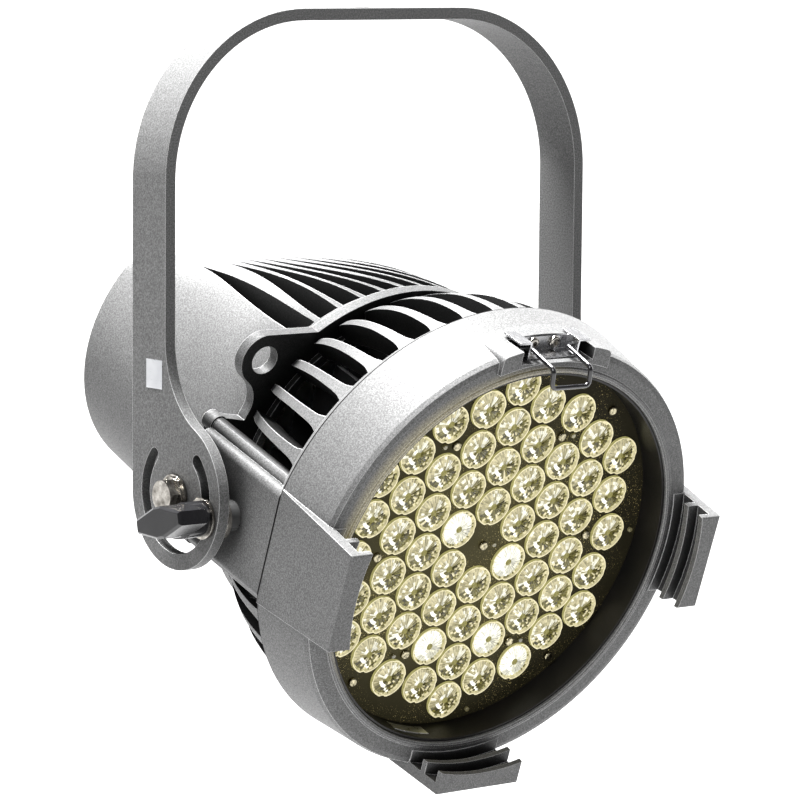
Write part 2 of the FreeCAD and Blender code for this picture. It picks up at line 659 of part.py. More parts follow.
def ear_neck(side):
    """Fillet between an ear and the flange's disc, and the level edge inboard of the ear."""
    y0 = FLANGE_FRONT_Y
    y1 = FLANGE_REAR_Y
    ear_away = math.hypot(EAR_X, EAR_Z)
    disc_away = FLANGE_R + EAR_FILLET_R
    along = (disc_away ** 2 - (EAR_R + EAR_FILLET_R) ** 2 + ear_away ** 2) / (2 * ear_away)
    across = math.sqrt(disc_away ** 2 - along ** 2)
    ux, uz = EAR_X / ear_away, EAR_Z / ear_away
    hollow = (along * ux + across * uz, along * uz - across * ux)
    on_disc = [v * FLANGE_R / disc_away for v in hollow]
    share = EAR_R / (EAR_R + EAR_FILLET_R)
    on_ear = (mix(EAR_X, hollow[0], share), mix(EAR_Z, hollow[1], share))
    corners = [(50.0, 40.0), tuple(on_disc), hollow, on_ear, (EAR_X, EAR_Z)]
    filler = prism_y([(side * x, z) for x, z in corners], y0, y1)
    filler = filler.cut(rod(side * hollow[0], hollow[1], EAR_FILLET_R, y0 - 1, y1 + 1))
    level = [(50.0, 40.0), (49.0, EAR_Z + EAR_R), (EAR_X, EAR_Z + EAR_R), (EAR_X, EAR_Z)]
    return filler.fuse(prism_y([(side * x, z) for x, z in level], y0, y1))


def flange_outline():
    """Disc, two ears and two side lobes."""
    y0 = FLANGE_FRONT_Y
    y1 = FLANGE_REAR_Y
    parts = [rod(0, 0, FLANGE_R, y0, y1)]
    for side in SIDES:
        parts.append(rod(side * EAR_X, EAR_Z, EAR_R, y0, y1))
        parts.append(ear_neck(side))
        half = COLUMN_Z
        lobe = [(side * 70, -half), (side * COLUMN_X, -half - COLUMN_R), (side * (COLUMN_X + COLUMN_R), -half),
                (side * (COLUMN_X + COLUMN_R), half), (side * COLUMN_X, half + COLUMN_R), (side * 70, half)]
        parts.append(prism_y(lobe, y0, y1))
        for sign in SIDES:
            parts.append(rod(side * COLUMN_X, sign * half, COLUMN_R + 0.6, y0, y1 + 1.5))
    return fused(parts)


TOP_SLOTS = 5                 # on each side of the middle
SLOT_FRONT_Y = 84.5


def top_slot(side, k):
    """Spear-shaped slot between two cooling fins, wide at the flange and pointed at the rear."""
    angle = 4.2 + 8.4 * k
    front_x = REAR_TOP_R * math.sin(math.radians(angle))
    half = 4.7 * math.cos(math.radians(angle))
    last = k == TOP_SLOTS - 1
    tip_x = 43.0 if last else 4.1 + 8.2 * k
    tip_y = 175.0 if last else 186.0 - 1.2 * k * k
    middle_y = mix(SLOT_FRONT_Y, tip_y, 0.5)
    middle_x = mix(front_x, tip_x, 0.5)
    inner = middle_x - 0.62 * half
    outer = middle_x + 1.05 * half
    points = [Vector(side * (front_x - half), SLOT_FRONT_Y, 0), Vector(side * inner, middle_y, 0),
              Vector(side * tip_x, tip_y, 0), Vector(side * outer, middle_y, 0),
              Vector(side * (front_x + half), SLOT_FRONT_Y, 0)]
    edges = [Part.Arc(points[0], points[1], points[2]).toShape(),
             Part.Arc(points[2], points[3], points[4]).toShape(),
             Part.LineSegment(points[4], points[0]).toShape()]
    face = Part.Face(Part.Wire(edges))
    face.translate(Vector(0, 0, 22))
    return face.extrude(Vector(0, 0, 80))


PANEL_SCREWS = [(-57.0, 24.0), (57.0, 24.0), (-15.0, -60.0), (15.0, -60.0)]


TRAY_Z = -40.4
TRAY_POSTS = [(x, y) for x in (-30.0, 30.0) for y in (120.0, 165.0)]


def rear_housing():
    outer = rear_solid(0.0, FLANGE_REAR_Y, REAR_Y)
    cavity = rear_solid(REAR_WALL, FLANGE_REAR_Y, REAR_Y)
    floor = rear_solid(FIN_DEPTH, FLANGE_REAR_Y, REAR_Y)
    under = rear_solid(FIN_DEPTH + 2.5, FLANGE_REAR_Y, REAR_Y)
    fin_block = cavity.common(block(-58, 58, FLANGE_REAR_Y, 189, 25, 100)).cut(under)
    bosses = [rod(x, z, 5.0, PANEL_Y - 14, PANEL_Y) for x, z in PANEL_SCREWS]
    bosses += [Part.makeCylinder(4.0, 40.0, Vector(x, y, TRAY_Z - 40), UP) for x, y in TRAY_POSTS]
    holders = [boss.common(outer) for boss in bosses]
    body = outer.cut(cavity).multiFuse([fin_block] + holders)
    slots = group([top_slot(side, k) for side in SIDES for k in range(TOP_SLOTS)])
    cuts = [slots.cut(floor)]
    cuts += [rod(x, z, 1.3, PANEL_Y - 10, PANEL_Y + 1) for x, z in PANEL_SCREWS]
    return body.cut(Part.makeCompound(cuts))


def rear_flange():
    """Ring that joins the vented housing to the rear housing, with the safety cable's eyes."""
    cuts = [rod(0, 0, 68.0, FLANGE_FRONT_Y - 1, FLANGE_REAR_Y + 1)]
    for side in SIDES:
        cuts.append(rod(side * EAR_X, EAR_Z, EAR_HOLE_R, 70, 95))
        for sign in SIDES:
            cuts.append(rod(side * COLUMN_X, sign * COLUMN_Z, SCREW_R, 70, 95))
    return flange_outline().cut(Part.makeCompound(cuts))


def housing_screws():
    screws = []
    top = FLANGE_REAR_Y + 1.5
    for side in SIDES:
        for sign in SIDES:
            x = side * COLUMN_X
            z = sign * COLUMN_Z
            head = rod(x, z, 2.8, top, top + 2.4)
            head = head.makeFillet(0.8, [head.Edges[0]])
            screws.append(head.fuse(rod(x, z, 1.45, 62, top)))
    return group(screws)


# ---------------------------------------------------------------- rear panel and electronics
CONNECTORS = {"power_in": (-30.0, -14.0), "power_out": (-30.0, -42.0),
              "data_in": (30.0, -14.0), "data_out": (30.0, -42.0)}
CONNECTOR_R = 11.0
BUTTON_X = [-18.0, -6.0, 6.0, 18.0]
BUTTON_Z = 9.0
BUTTON_R = 3.4
BUTTON_TRAVEL = 1.2
SWITCH_TOP_Y = PANEL_Y - 2.0 - BUTTON_TRAVEL


def rear_panel():
    inside = rear_solid(REAR_WALL + 0.3, FLANGE_REAR_Y, REAR_Y)
    plate = inside.common(block(-90, 90, PANEL_Y, PANEL_Y + PANEL_T, -90, 90))
    holes = [rod(x, z, CONNECTOR_R, PANEL_Y - 1, PANEL_Y + 4) for x, z in CONNECTORS.values()]
    holes += [rod(x, BUTTON_Z, BUTTON_R + 0.35, PANEL_Y - 1, PANEL_Y + 4) for x in BUTTON_X]
    holes += [rod(x, z, 1.6, PANEL_Y - 1, PANEL_Y + 4) for x, z in PANEL_SCREWS]
    holes.append(block(-26, 26, PANEL_Y - 1, PANEL_Y + 4, 17, 35))
    holes.append(rod(0, -28, 6.0, PANEL_Y - 1, PANEL_Y + 4))
    return plate.cut(Part.makeCompound(holes))


def panel_screws():
    screws = []
    top = PANEL_Y + PANEL_T
    for x, z in PANEL_SCREWS:
        head = rod(x, z, 2.6, top, top + 1.8)
        head = head.makeFillet(0.8, [head.Edges[0]])
        screws.append(head.fuse(rod(x, z, 1.25, PANEL_Y - 8, top)))
    return group(screws)


def display_window():
    return block(-25.8, 25.8, PANEL_Y, PANEL_Y + PANEL_T + 0.6, 17.2, 34.8)


def display_module():
    return block(-28, 28, PANEL_Y - 5, PANEL_Y - 0.3, 15, 36.5)


def button_cap(x):
    cap = rod(x, BUTTON_Z, BUTTON_R, PANEL_Y - 1.7, PANEL_Y + PANEL_T + 2.0)
    cap = cap.makeFillet(0.8, [cap.Edges[0]])
    return cap.fuse(rod(x, BUTTON_Z, BUTTON_R + 0.9, PANEL_Y - 1.7, PANEL_Y - 0.3))


def panel_board():
    """Circuit board behind the panel, with the four switches."""
    board = block(-27, 27, PANEL_Y - 9.6, PANEL_Y - 8.0, 0, 36)
    switches = [block(x - 3, x + 3, PANEL_Y - 8.0, SWITCH_TOP_Y, BUTTON_Z - 3, BUTTON_Z + 3) for x in BUTTON_X]
    return board.multiFuse(switches)


def connector_shell(x, z, sleeve):
    """Round panel connector: flanged shell with a hollow mouth of the given depth."""
    body = rod(x, z, CONNECTOR_R - 0.2, PANEL_Y - 20, PANEL_Y + PANEL_T)
    collar = rod(x, z, CONNECTOR_R + 1.6, PANEL_Y + PANEL_T, PANEL_Y + PANEL_T + 1.6)
    mouth = rod(x, z, CONNECTOR_R - 1.6, PANEL_Y + PANEL_T + 1.6 - sleeve, PANEL_Y + 8)
    return body.fuse(collar).cut(mouth)


def power_inlet():
    x, z = CONNECTORS["power_in"]
    shell = connector_shell(x, z, 14)
    core = rod(x, z, 6.4, PANEL_Y - 11, PANEL_Y + 1)
    core = core.cut(block(x - 1.2, x + 1.2, PANEL_Y - 8, PANEL_Y + 2, z - 4.5, z + 4.5))
    return shell.fuse(core)


def power_outlet():
    x, z = CONNECTORS["power_out"]
    shell = connector_shell(x, z, 14)
    core = rod(x, z, 5.8, PANEL_Y - 11, PANEL_Y - 1)
    core = core.cut(block(x - 3.5, x + 3.5, PANEL_Y - 8, PANEL_Y + 2, z - 1.0, z + 1.0))
    return shell.fuse(core)


def data_connector(name, recessed):
    """Five-pole round data connector, with pins or with an insert with sockets."""
    x, z = CONNECTORS[name]
    shell = connector_shell(x, z, 12)
    poles = [polar(5.0, 54 + 72 * k) for k in range(5)]
    if recessed:
        insert = rod(x, z, 7.6, PANEL_Y - 9, PANEL_Y + 1.2)
        sockets = [rod(x + dx, z + dz, 1.0, PANEL_Y - 6, PANEL_Y + 3) for dx, dz in poles]
        return shell.fuse(insert.cut(Part.makeCompound(sockets)))
    return shell.multiFuse([rod(x + dx, z + dz, 0.8, PANEL_Y - 10, PANEL_Y + 0.5) for dx, dz in poles])


def fuse_holder():
    body = rod(0, -28, 5.8, PANEL_Y - 22, PANEL_Y + PANEL_T)
    cap = rod(0, -28, 7.4, PANEL_Y + PANEL_T, PANEL_Y + PANEL_T + 3.2)
    cap = cap.cut(block(-5, 5, PANEL_Y + PANEL_T + 2.2, PANEL_Y + 8, -28.7, -27.3))
    return body.fuse(cap)


def driver_board():
    board = block(-46, 46, 112, 172, -33.6, -32)
    holes = [Part.makeCylinder(1.6, 4, Vector(x, y, -35), UP) for x in (-42, 42) for y in (116, 168)]
    return board.cut(Part.makeCompound(holes))


def driver_components():
    """Transformer, chokes, capacitors and drivers standing on the board."""
    parts = [block(-20, 10, 118, 144, -32, -8), block(18, 34, 118, 130, -32, -20)]
    for x, y, radius, height in ((-36, 126, 6, 20), (-36, 142, 6, 20), (24, 150, 8, 14), (-4, 158, 5, 16)):
        parts.append(Part.makeCylinder(radius, height, Vector(x, y, -32), UP))
    return group(parts)


def board_tray():
    """Bent tray under the driver board, screwed to the housing's bosses."""
    floor = block(-48, 48, 110, 176, TRAY_Z, -38.6)
    walls = [block(-48, -46.2, 110, 176, -38.6, -30), block(46.2, 48, 110, 176, -38.6, -30)]
    posts = [Part.makeCylinder(3, 5.0, Vector(x, y, -38.6), UP) for x in (-42, 42) for y in (116, 168)]
    return floor.multiFuse(walls + posts)


FAN_Y = 90.0
FAN_HALF = 40.0
FAN_DEPTH = 15.0


def fan_frame():
    frame = block(-FAN_HALF, FAN_HALF, FAN_Y, FAN_Y + FAN_DEPTH, -FAN_HALF, FAN_HALF)
    frame = frame.cut(rod(0, 0, FAN_HALF - 2.0, FAN_Y - 1, FAN_Y + FAN_DEPTH - 2))
    frame = frame.cut(tube(FAN_HALF - 2.0, 17.0, FAN_Y + 1, FAN_Y + FAN_DEPTH + 1))
    hub = rod(0, 0, 17.0, FAN_Y + FAN_DEPTH - 2, FAN_Y + FAN_DEPTH)
    spokes = [spun(block(15, FAN_HALF - 1, FAN_Y + FAN_DEPTH - 2, FAN_Y + FAN_DEPTH, -1.5, 1.5), angle)
              for angle in (45, 135, 225, 315)]
    axle = rod(0, 0, 1.5, FAN_Y + 1.5, FAN_Y + FAN_DEPTH)
    corners = [rod(x, z, 2.1, FAN_Y - 1, FAN_Y + FAN_DEPTH + 1) for x in (-35.5, 35.5) for z in (-35.5, 35.5)]
    return frame.multiFuse([hub, axle] + spokes).cut(Part.makeCompound(corners))


def fan_rotor():
    hub = rod(0, 0, 16.0, FAN_Y + 0.8, FAN_Y + FAN_DEPTH - 2.6)
    blades = []
    for k in range(7):
        blade = block(14, FAN_HALF - 3.2, -0.7, 0.7, -6.5, 6.5)
        blade.rotate(Vector(0, 0, 0), AXIS_X, 52)
        blade.translate(Vector(0, FAN_Y + 6.6, 0))
        blade = blade.common(block(0, 60, FAN_Y + 0.8, FAN_Y + FAN_DEPTH - 2.6, -20, 20))
        blades.append(spun(blade, k * 360 / 7))
    rotor = hub.multiFuse(blades)
    rotor = rotor.common(rod(0, 0, FAN_HALF - 3.2, FAN_Y, FAN_Y + FAN_DEPTH))
    return rotor.cut(rod(0, 0, 1.55, FAN_Y - 1, FAN_Y + FAN_DEPTH + 1))


def fan_screws():
    return group([rod(x, z, 1.9, FAN_Y - 4.5, FAN_Y + FAN_DEPTH + 1.5) for x in (-35.5, 35.5)
                  for z in (-35.5, 35.5)])


def fan_bracket():
    """Plate behind the flange that carries the fan."""
    plate = rod(0, 0, 57.0, FAN_Y - 2.6, FAN_Y)
    apron = rod(0, 0, 70.5, FAN_Y - 2.6, FAN_Y).common(block(-80, 80, 80, 95, -80, 22))
    feet = [rod(*polar(68.4, angle), 2.6, FLANGE_REAR_Y, FAN_Y - 2.6) for angle in (-15, -60, -120, -165)]
    plate = plate.multiFuse([apron] + feet)
    holes = [rod(0, 0, FAN_HALF - 2.5, FAN_Y - 4, FAN_Y + 1)]
    holes += [rod(x, z, 2.1, FAN_Y - 4, FAN_Y + 1) for x in (-35.5, 35.5) for z in (-35.5, 35.5)]
    return plate.cut(Part.makeCompound(holes))


# ---------------------------------------------------------------- pivots and locks
def side_group(make):
    return group([make(side) for side in SIDES])


YOKE_INNER_X = YOKE_HALF_WIDTH - YOKE_BAR_THICK


def pivot_spacer(side):
    ring = cross_rod(11.4, side * CHEEK_X, side * (YOKE_INNER_X - 0.3), PIVOT_Y, 0)
    return ring.cut(cross_rod(PIVOT_PIN_R, side * 90, side * 115, PIVOT_Y, 0))


FRICTION_DISC_T = 2.2


def lock_spacer(side):
    inner = YOKE_INNER_X - 0.3 - FRICTION_DISC_T
    ring = cross_rod(6.6, side * CHEEK_X, side * inner, PIVOT_Y - LOCK_ARC_R, 0)
    return ring.cut(cross_rod(LOCK_BORE_R, side * 90, side * 115, PIVOT_Y - LOCK_ARC_R, 0))


def friction_disc(side):
    """Metal disc that the knob pulls against the inside of the yoke."""
    inner = YOKE_INNER_X - 0.3 - FRICTION_DISC_T
    ring = cross_rod(9.8, side * inner, side * (YOKE_INNER_X - 0.3), PIVOT_Y - LOCK_ARC_R, 0)
    return ring.cut(cross_rod(LOCK_BORE_R, side * 90, side * 115, PIVOT_Y - LOCK_ARC_R, 0))


WASHERS_T = 2.4


def pivot_washer(side):
    face = YOKE_HALF_WIDTH + 0.3
    flat = cross_rod(8.8, side * face, side * (face + 1.2), PIVOT_Y, 0)
    spring = cross_rod(7.9, side * (face + 1.2), side * (face + WASHERS_T), PIVOT_Y, 0)
    return flat.fuse(spring).cut(cross_rod(PIVOT_PIN_R, side * 100, side * 130, PIVOT_Y, 0))


def pivot_bolt(side):
    face = YOKE_HALF_WIDTH + 0.3 + WASHERS_T
    head_x = sorted((side * face, side * (face + 4.4)))
    head = prism_x(hexagon(13.0, PIVOT_Y, 0), head_x[0], head_x[1])
    cone = cross_rod(7.5, head_x[0], head_x[1], PIVOT_Y, 0)
    outer_x = side * (face + 4.4)
    rim = [e for e in cone.Edges if abs(e.BoundBox.XMin - outer_x) < 0.01 and abs(e.BoundBox.XMax - outer_x) < 0.01]
    head = head.common(cone.makeChamfer(0.9, rim))
    return head.fuse(cross_rod(PIVOT_PIN_R, side * 87, side * face, PIVOT_Y, 0))


KNOB_TURN = -13.0             # degrees, front end of the wing raised


def lock_knob(side):
    """Wing knob: round hub, and a hexagonal bar across it with narrow ends."""
    y = PIVOT_Y - LOCK_ARC_R
    face = YOKE_HALF_WIDTH + 1.6
    under = YOKE_HALF_WIDTH + 9.4
    top = YOKE_HALF_WIDTH + 23.0
    wing = prism_x([(y - 16, -2.9), (y - 16, 2.9), (y - 2.5, 6.6), (y + 2.5, 6.6), (y + 16, 2.9),
                    (y + 16, -2.9), (y + 2.5, -6.6), (y - 2.5, -6.6)],
                   min(side * under, side * top), max(side * under, side * top))
    far = side * top
    rim = [e for e in wing.Edges if abs(e.BoundBox.XMin - far) < 0.01 and abs(e.BoundBox.XMax - far) < 0.01]
    wing = wing.makeChamfer(1.0, rim)
    hub = cross_rod(7.4, side * face, side * (under + 1), y, 0)
    stud = cross_rod(LOCK_STUD_R, side * 88, side * (face + 1), y, 0)
    knob = wing.multiFuse([hub, stud])
    knob.rotate(Vector(0, y, 0), AXIS_X, KNOB_TURN - HEAD_TILT)
    return knob


def lock_washer(side):
    face = YOKE_HALF_WIDTH + 0.3
    ring = cross_rod(8.6, side * face, side * (face + 1.2), PIVOT_Y - LOCK_ARC_R, 0)
    return ring.cut(cross_rod(LOCK_BORE_R, side * 100, side * 130, PIVOT_Y - LOCK_ARC_R, 0))


# ---------------------------------------------------------------- output
def tilted(shape):
    """From the head's own axes to the row frame, at the resting tilt."""
    placed = shape.copy()
    placed.rotate(Vector(0, PIVOT_Y, 0), AXIS_X, HEAD_TILT)
    placed.translate(PIVOT - Vector(0, PIVOT_Y, 0))
    return placed


HEAD_NODES = {
    "front_bezel": front_bezel,
    "bezel_gasket": bezel_gasket,
    "bezel_screws": bezel_screws,
    "latch_bracket": latch_bracket,
    "latch_screws": latch_screws,
    "latch_wire": latch_wire,
    "lens_plate": lens_plate,
    "lenses": lenses,
    "led_board": led_board,
    "led_emitters": led_emitters,
    "plate_posts": plate_posts,
    "plate_screws": plate_screws,
    "locating_pins": locating_pins,
    "inner_tube": inner_tube,
    "tube_label": tube_label,
    "heat_sink": heat_sink,
    "mid_housing": mid_housing,
    "vent_ribs_top": lambda: vent_ribs(0),
    "vent_ribs_bottom": lambda: vent_ribs(180),
    "rear_flange": rear_flange,
    "rear_housing": rear_housing,
    "housing_screws": housing_screws,
    "rear_panel": rear_panel,
    "panel_screws": panel_screws,
    "display_window": display_window,
    "display_module": display_module,
    "panel_board": panel_board,
    "power_inlet": power_inlet,
    "power_outlet": power_outlet,
    "data_inlet": lambda: data_connector("data_in", False),
    "data_outlet": lambda: data_connector("data_out", True),
    "fuse_holder": fuse_holder,
    "driver_board": driver_board,
    "driver_components": driver_components,
    "board_tray": board_tray,
    "fan_bracket": fan_bracket,
    "fan_frame": fan_frame,
    "fan_screws": fan_screws,
    "fan_rotor": fan_rotor,
    "pivot_spacers": lambda: side_group(pivot_spacer),
    "lock_spacers": lambda: side_group(lock_spacer),
    "friction_discs": lambda: side_group(friction_disc),
    "pivot_washers": lambda: side_group(pivot_washer),
    "pivot_bolts": lambda: side_group(pivot_bolt),
    "lock_washers": lambda: side_group(lock_washer),
    "lock_knob_left": lambda: lock_knob(-1),
    "lock_knob_right": lambda: lock_knob(1),
}
for number, place in enumerate(BUTTON_X, start=1):
    HEAD_NODES["menu_button_%d" % number] = lambda x=place: button_cap(x)

YOKE_NODES = {
    "yoke_bridge": yoke_bridge,
    "yoke_arm_left": lambda: yoke_arm(-1),
    "yoke_arm_right": lambda: yoke_arm(1),
    "rating_label": rating_label,
}


def main():
    os.makedirs("parts", exist_ok=True)
    for name, make in YOKE_NODES.items():
        make().exportStep("parts/%s.step" % name)
    for name, make in HEAD_NODES.items():
        tilted(make()).exportStep("parts/%s.step" % name)


main()
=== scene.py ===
import math
import random

import bmesh
import bpy
from mathutils import Matrix, Vector
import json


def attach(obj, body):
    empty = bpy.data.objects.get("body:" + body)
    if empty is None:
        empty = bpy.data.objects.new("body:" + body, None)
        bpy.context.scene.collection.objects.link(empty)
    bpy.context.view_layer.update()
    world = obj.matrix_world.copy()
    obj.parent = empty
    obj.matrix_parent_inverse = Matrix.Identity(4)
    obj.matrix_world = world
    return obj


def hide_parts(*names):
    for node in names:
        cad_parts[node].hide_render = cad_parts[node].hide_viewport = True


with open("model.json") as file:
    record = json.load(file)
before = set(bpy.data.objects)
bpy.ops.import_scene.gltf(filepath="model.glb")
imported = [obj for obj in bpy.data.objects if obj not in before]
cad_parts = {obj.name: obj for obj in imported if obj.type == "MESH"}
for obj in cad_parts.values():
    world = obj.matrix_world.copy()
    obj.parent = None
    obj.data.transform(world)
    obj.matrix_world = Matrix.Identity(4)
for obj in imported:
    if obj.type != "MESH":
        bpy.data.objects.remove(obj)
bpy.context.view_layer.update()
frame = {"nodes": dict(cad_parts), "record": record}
nodes = frame["nodes"]

MM = 0.001
SHARP = math.radians(30)      # edges of the yoke that bend more than this stay sharp
HEAD_TILT = math.radians(20)
PIVOT = Vector((0.0, -0.0195, -0.200))
PIVOT_BEHIND_LENS = 0.0679
# from the head's own axes (optical axis along -Y, lens plane at y = 0) to the row frame
HEAD = (Matrix.Translation(PIVOT) @ Matrix.Rotation(HEAD_TILT, 4, "X")
        @ Matrix.Translation((0.0, -PIVOT_BEHIND_LENS, 0.0)))

# sizes of the CAD nodes that the looks and the pieces made here follow, in millimetres
BRIDGE_HALF = 42.0            # yoke: half length of the straight middle, up to the bends
SEAM_Y = 18.7                 # middle of the gap between the bezel and the vented housing
VENTS_Y = (24.5, 77.6)        # front and rear of the vents
VENTS_MIN_Z = 27.0            # the vents start this far above and below the axis
VENTS_FLOOR_R = 76.0
FLANGE_FRONT_Y = 77.7
FLANGE_REAR_Y = 83.0
FINS_Y = (84.0, 189.0)        # front and rear of the slots between the rear fins
FINS_HALF_W = 58.0
FINS_MIN_Z = 20.0
FINS_SKIN_R = 82.3            # radius just behind the flange
FINS_SKIN_TAPER = 0.105       # radius lost per millimetre towards the rear
FINS_SKIN_T = 6.0             # anything deeper than this lies inside a slot
FLAT_TOP_Z = 84.0             # height of the sloping flat top just behind the flange
FLAT_TOP_SLOPE = 0.3288
LENS_PITCH = 18.5
LENS_RINGS = 4                # rings of lenses about the middle of the plate
EDGE_LENS_SHIFT = 1.0686      # the lens in the middle of each outer side stands further out

# middle of the painted warm glow on the plate and on the lip round it, in the head's metres
PLATE_GLOW_AT = (-0.012, 0.0, -0.006)
LIP_GLOW_AT = (-0.007, 0.0, 0.005)


# ---------------------------------------------------------------- shader building
class Shader:
    """A material with short calls for its nodes."""

    def __init__(self, name):
        self.material = bpy.data.materials.new(name)
        self.material.use_nodes = True
        self.tree = self.material.node_tree
        self.tree.nodes.clear()
        self.output = self.add("ShaderNodeOutputMaterial")
        self.surface = self.add("ShaderNodeBsdfPrincipled")
        self.link(self.surface.outputs[0], self.output.inputs["Surface"])
        coords = self.add("ShaderNodeTexCoord")
        self.position = coords.outputs["Object"]

    def add(self, kind, **values):
        node = self.tree.nodes.new(kind)
        for key, value in values.items():
            setattr(node, key, value)
        return node

    def link(self, a, b):
        self.tree.links.new(a, b)

    def set(self, **values):
        for key, value in values.items():
            self.surface.inputs[key.replace("_", " ")].default_value = value
        return self

    def noise(self, scale, detail, roughness=0.55, stretch=None):
        node = self.add("ShaderNodeTexNoise")
        node.inputs["Scale"].default_value = scale
        node.inputs["Detail"].default_value = detail
        node.inputs["Roughness"].default_value = roughness
        source = self.position
        if stretch:
            mapping = self.add("ShaderNodeMapping")
            mapping.inputs["Scale"].default_value = stretch
            self.link(source, mapping.inputs["Vector"])
            source = mapping.outputs[0]
        self.link(source, node.inputs["Vector"])
        return node.outputs["Fac"]

    def ramp(self, value, stops):
        node = self.add("ShaderNodeValToRGB")
        elements = node.color_ramp.elements
        while len(elements) < len(stops):
            elements.new(0.5)
        for element, (place, colour) in zip(elements, stops):
            element.position = place
            if isinstance(colour, (int, float)):
                colour = (colour, colour, colour)
            element.color = (*colour, 1.0)
        self.link(value, node.inputs["Fac"])
        return node.outputs["Color"]

    def mix(self, share, a, b, blend="MIX"):
        node = self.add("ShaderNodeMix", data_type="RGBA", blend_type=blend)
        for socket, value in ((node.inputs[0], share), (node.inputs[6], a), (node.inputs[7], b)):
            if isinstance(value, bpy.types.NodeSocket):
                self.link(value, socket)
            elif isinstance(value, tuple):
                socket.default_value = (*value, 1.0)
            elif socket.type == "RGBA":
                socket.default_value = (value, value, value, 1.0)
            else:
                socket.default_value = value
        return node.outputs[2]

    def math(self, operation, a, b=0.0):
        node = self.add("ShaderNodeMath", operation=operation)
        for socket, value in zip(node.inputs, (a, b)):
            if isinstance(value, bpy.types.NodeSocket):
                self.link(value, socket)
            else:
                socket.default_value = value
        return node.outputs[0]

    def corners(self, radius):
        """Painted highlight mask: 1 on sharp edges, 0 on the flats beside them."""
        bevel = self.add("ShaderNodeBevel", samples=4)
        bevel.inputs["Radius"].default_value = radius
        geometry = self.add("ShaderNodeNewGeometry")
        dot = self.add("ShaderNodeVectorMath", operation="DOT_PRODUCT")
        self.link(bevel.outputs[0], dot.inputs[0])
        self.link(geometry.outputs["Normal"], dot.inputs[1])
        return self.ramp(dot.outputs["Value"], [(0.86, 1.0), (0.985, 0.0)])

    def gap_shade_mask(self, reach, dark, light):
        """Painted shade mask, from ambient occlusion: 0 deep inside a gap, 1 in the open."""
        node = self.add("ShaderNodeAmbientOcclusion", samples=6)
        node.inputs["Distance"].default_value = reach
        return self.ramp(node.outputs["AO"], [(dark, 0.0), (light, 1.0)])

    def seam_line(self):
        """1 on the thin dark line where the bezel meets the vented housing."""
        along = self.add("ShaderNodeVectorMath", operation="DOT_PRODUCT")
        axis = HEAD.to_3x3() @ Vector((0.0, 1.0, 0.0))
        self.link(self.position, along.inputs[0])
        along.inputs[1].default_value = axis
        start = axis.dot(HEAD @ Vector((0.0, SEAM_Y * MM, 0.0)))
        off = self.math("ABSOLUTE", self.math("SUBTRACT", along.outputs["Value"], start))
        return self.ramp(self.math("MULTIPLY", off, 1000.0), [(0.45, 1.0), (0.60, 0.0)])

    def distance_from(self, place):
        """Distance from a place given in the head's own axes, in tenths of a metre."""
        away = self.add("ShaderNodeVectorMath", operation="DISTANCE")
        self.link(self.position, away.inputs[0])
        away.inputs[1].default_value = HEAD @ Vector(place)
        return self.math("MULTIPLY", away.outputs["Value"], 10.0)

    def warm_spill(self, speck):
        """Painted warm light on the upper left of the lip round the lenses."""
        near = self.ramp(self.distance_from(LIP_GLOW_AT), [(0.815, 1.0), (0.865, 0.0)])
        warm = self.ramp(speck, [(0.35, (0.16, 0.13, 0.05)), (0.65, (0.42, 0.36, 0.17))])
        return self.mix(near, 0.0, warm)

    def attribute(self, name):
        node = self.add("ShaderNodeAttribute", attribute_name=name)
        return node.outputs["Color"]

    def to(self, socket, value):
        self.link(value, self.surface.inputs[socket])
        return self

    def bump(self, height, distance, strength, edge=0.0):
        node = self.add("ShaderNodeBump")
        node.inputs["Strength"].default_value = strength
        node.inputs["Distance"].default_value = distance
        self.link(height, node.inputs["Height"])
        if edge:
            bevel = self.add("ShaderNodeBevel", samples=4)
            bevel.inputs["Radius"].default_value = edge
            self.link(bevel.outputs[0], node.inputs["Normal"])
        self.link(node.outputs[0], self.surface.inputs["Normal"])
        return self


def powder_coat(name, shades, edge_highlight_tone, seam=False):
    """Fine-textured coat: three speckle shades, painted shade in gaps and a painted highlight along sharp
    edges.

    With seam, it also has the dark line of the head's seam and painted warm light near the lenses.
    """
    s = Shader(name)
    speck = s.noise(1500, 2.0, 0.75)
    cloud = s.noise(12, 3.0)
    base = s.ramp(speck, list(zip((0.34, 0.50, 0.67), shades)))
    base = s.mix(0.18, base, s.ramp(cloud, [(0.3, shades[1] * 0.85), (0.7, shades[1] * 1.15)]))
    # painted shade: the coat turns near-black deep in gaps
    base = s.mix(s.gap_shade_mask(0.022, 0.30, 0.80), shades[0] * 0.12, base)
    # painted highlight: a pale line along the sharp edges
    base = s.mix(s.corners(0.0005), base, edge_highlight_tone)
    if seam:
        base = s.mix(s.seam_line(), base, 0.004)
        # painted light: the coat glows warm near the lenses
        s.to("Emission Color", s.warm_spill(speck))
        s.set(Emission_Strength=0.55)
    s.to("Base Color", base)
    s.set(Metallic=0.05, Specular_IOR_Level=0.18)
    s.to("Roughness", s.ramp(speck, [(0.3, 0.60), (0.7, 0.46)]))
    s.bump(speck, 0.00014, 0.25, edge=0.0006)
    return s.material


def metal(name, low, high, roughness, scale=900, metallic=1.0, stretch=None, edge=0.0003, patch=60):
    """Bare metal: fine grain, and a tone that drifts from low to high."""
    s = Shader(name)
    grain = s.noise(scale, 4.0, 0.6, stretch)
    cloud = s.noise(patch, 3.0)
    base = s.ramp(cloud, [(0.3, low), (0.7, high)])
    s.to("Base Color", base)
    s.set(Metallic=metallic)
    s.to("Roughness", s.ramp(grain, [(0.25, roughness * 0.75), (0.75, roughness * 1.3)]))
    s.bump(grain, 0.00002, 0.05, edge=edge)
    return s.material


